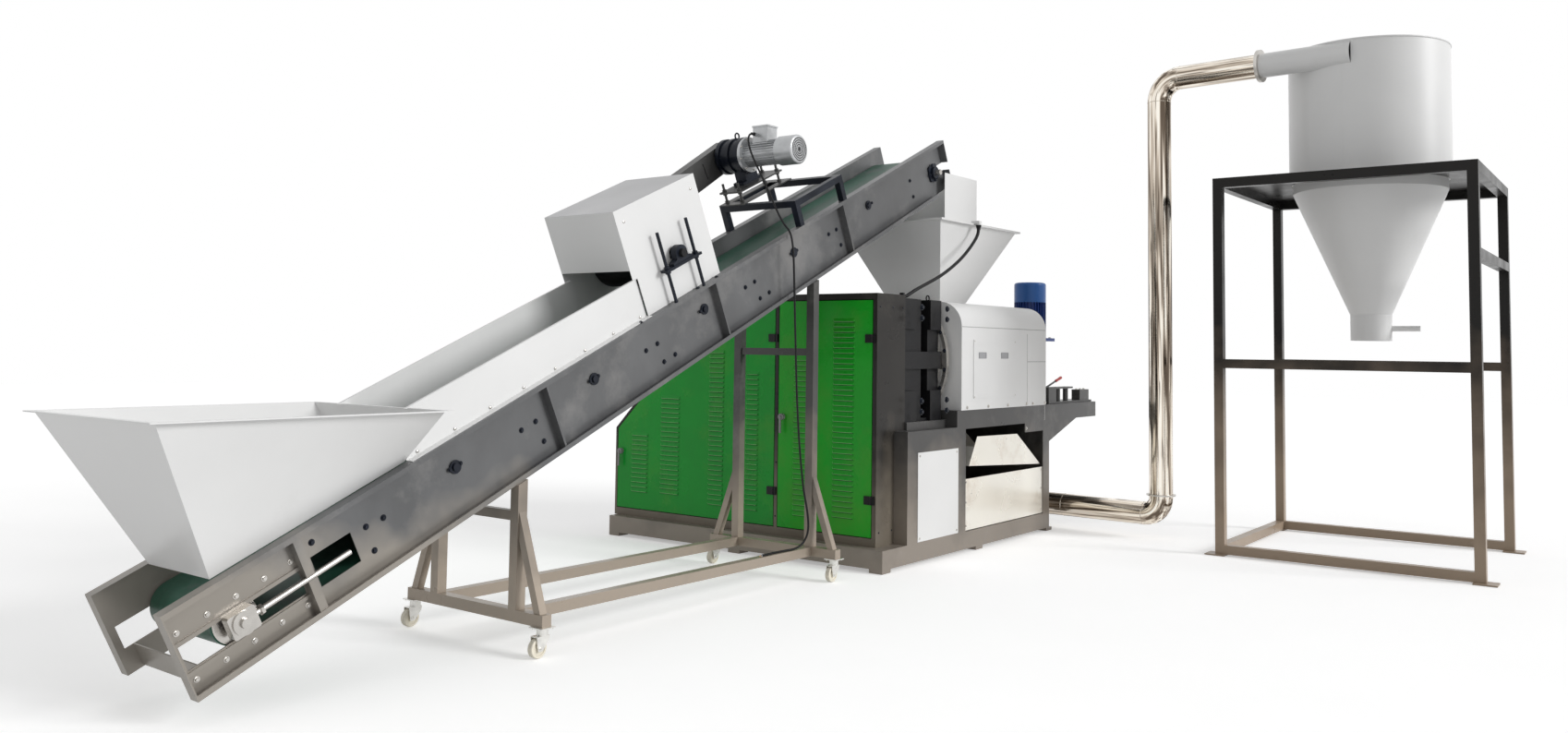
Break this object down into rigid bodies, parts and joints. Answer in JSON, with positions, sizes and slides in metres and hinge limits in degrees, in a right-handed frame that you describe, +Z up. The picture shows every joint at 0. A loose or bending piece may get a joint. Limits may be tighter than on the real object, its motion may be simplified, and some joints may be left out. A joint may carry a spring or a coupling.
{
  "type": "plastic squeezer dryer plant",
  "caption": "Screw squeezer dryer fed by an inclined belt conveyor on castors, with a blower pipe rising to a round silo on a steel stand.",
  "frame": {"origin": "middle of the whole plan at floor level", "axes": "+X is the way the belt travels and the screw's axis, +Y is across to the side away from the silo, +Z is up"},
  "size_m": [9.173, 6.099, 4.0109],
  "materials": {
    "frame_steel": "satin graphite paint",
    "green_paint": "gloss green enamel",
    "white_paint": "satin off-white enamel",
    "belt_green": "smooth green belt with worn sheen",
    "drum_rubber": "black rubber lagging",
    "bright_steel": "turned steel",
    "polished_steel": "mirror polished stainless sheet",
    "dark_iron": "dark cast housing",
    "motor_silver": "silver motor paint",
    "motor_blue": "deep blue enamel",
    "zinc": "bright zinc plate",
    "wheel_cream": "cream nylon wheel",
    "black_cable": "matt black sheath"
  },
  "bodies": {
    "plant": {"barrel_flange": "bright_steel", "cabinet": "frame_steel", "carry_rollers": "bright_steel", "castor_plates": "zinc", "castor_trestle": "frame_steel", "chain_guard": "frame_steel", "conveyor_bearings": "dark_iron", "conveyor_belt": "belt_green", "cutter_housing": "white_paint", "cutter_motor": "motor_blue", "cutter_slide": "frame_steel", "drain_sheet": "polished_steel", "drive_frame": "dark_iron", "drive_gearbox": "dark_iron", "drive_motor": "motor_silver", "drum_bearings": "dark_iron", "drum_cover": "white_paint", "feed_chute": "white_paint", "feed_hopper": "white_paint", "feed_hose": "black_cable", "gear_housing": "frame_steel", "hood": "white_paint", "hood_hatch": "white_paint", "housing_foot": "frame_steel", "infeed_hopper": "white_paint", "main_drive": "motor_blue", "motor_cable": "black_cable", "motor_mount": "frame_steel", "pedestal": "frame_steel", "pedestal_panel": "white_paint", "pipe_clamps": "bright_steel", "pipe_lower": "polished_steel", "pipe_riser": "polished_steel", "plinth": "frame_steel", "side_frame_far": "frame_steel", "side_frame_near": "frame_steel", "silo_cone": "white_paint", "silo_lid": "white_paint", "silo_shell": "white_paint", "silo_spout": "white_paint", "silo_stand": "dark_iron", "skirt_boards": "white_paint", "stand_deck": "dark_iron", "table": "frame_steel", "tail_plate": "frame_steel", "tension_blocks": "bright_steel", "tensioner_rails": "frame_steel"},
    "right_door": {"right_door": "green_paint"},
    "left_door": {"left_door": "green_paint"},
    "press_drum": {"press_drum": "drum_rubber"},
    "tail_drum": {"tail_drum": "bright_steel"},
    "head_drum": {"head_drum": "bright_steel"},
    "fork_front_near": {"castor_fork_front_near": "zinc"},
    "wheel_front_near": {"castor_wheel_front_near": "wheel_cream"},
    "fork_front_far": {"castor_fork_front_far": "zinc"},
    "wheel_front_far": {"castor_wheel_front_far": "wheel_cream"},
    "fork_rear_near": {"castor_fork_rear_near": "zinc"},
    "wheel_rear_near": {"castor_wheel_rear_near": "wheel_cream"},
    "fork_rear_far": {"castor_fork_rear_far": "zinc"},
    "wheel_rear_far": {"castor_wheel_rear_far": "wheel_cream"}
  },
  "joints": [
    {"name": "right_door_hinge", "type": "hinge", "parent": "plant", "child": "right_door", "pos_m": [0.4225, 0.5105, 1.05], "axis": [0, 0, 1], "range_deg": [0, 32]},
    {"name": "left_door_hinge", "type": "hinge", "parent": "plant", "child": "left_door", "pos_m": [0.4225, 1.3825, 1.05], "axis": [0, 0, 1], "range_deg": [0, 65]},
    {"name": "press_drum_spin", "type": "hinge", "parent": "plant", "child": "press_drum", "pos_m": [-1.44427, 1.0085, 2.11373], "axis": [0, 1, 0], "continuous": true},
    {"name": "tail_drum_spin", "type": "hinge", "parent": "plant", "child": "tail_drum", "pos_m": [-4.06155, 1.0085, 0.39347], "axis": [0, 1, 0], "continuous": true},
    {"name": "head_drum_spin", "type": "hinge", "parent": "plant", "child": "head_drum", "pos_m": [1.63481, 1.0085, 2.98945], "axis": [0, 1, 0], "continuous": true},
    {"name": "swivel_front_near", "type": "hinge", "parent": "plant", "child": "fork_front_near", "pos_m": [-2.6115, 0.4885, 0.12], "axis": [0, 0, 1], "continuous": true},
    {"name": "roll_front_near", "type": "hinge", "parent": "fork_front_near", "child": "wheel_front_near", "pos_m": [-2.6435, 0.4885, 0.05], "axis": [0, 1, 0], "continuous": true},
    {"name": "swivel_front_far", "type": "hinge", "parent": "plant", "child": "fork_front_far", "pos_m": [-2.6115, 1.5285, 0.12], "axis": [0, 0, 1], "continuous": true},
    {"name": "roll_front_far", "type": "hinge", "parent": "fork_front_far", "child": "wheel_front_far", "pos_m": [-2.6435, 1.5285, 0.05], "axis": [0, 1, 0], "continuous": true},
    {"name": "swivel_rear_near", "type": "hinge", "parent": "plant", "child": "fork_rear_near", "pos_m": [-0.0565, 0.4885, 0.12], "axis": [0, 0, 1], "continuous": true},
    {"name": "roll_rear_near", "type": "hinge", "parent": "fork_rear_near", "child": "wheel_rear_near", "pos_m": [-0.0885, 0.4885, 0.05], "axis": [0, 1, 0], "continuous": true},
    {"name": "swivel_rear_far", "type": "hinge", "parent": "plant", "child": "fork_rear_far", "pos_m": [-0.0565, 1.5285, 0.12], "axis": [0, 0, 1], "continuous": true},
    {"name": "roll_rear_far", "type": "hinge", "parent": "fork_rear_far", "child": "wheel_rear_far", "pos_m": [-0.0885, 1.5285, 0.05], "axis": [0, 1, 0], "continuous": true}
  ]
}
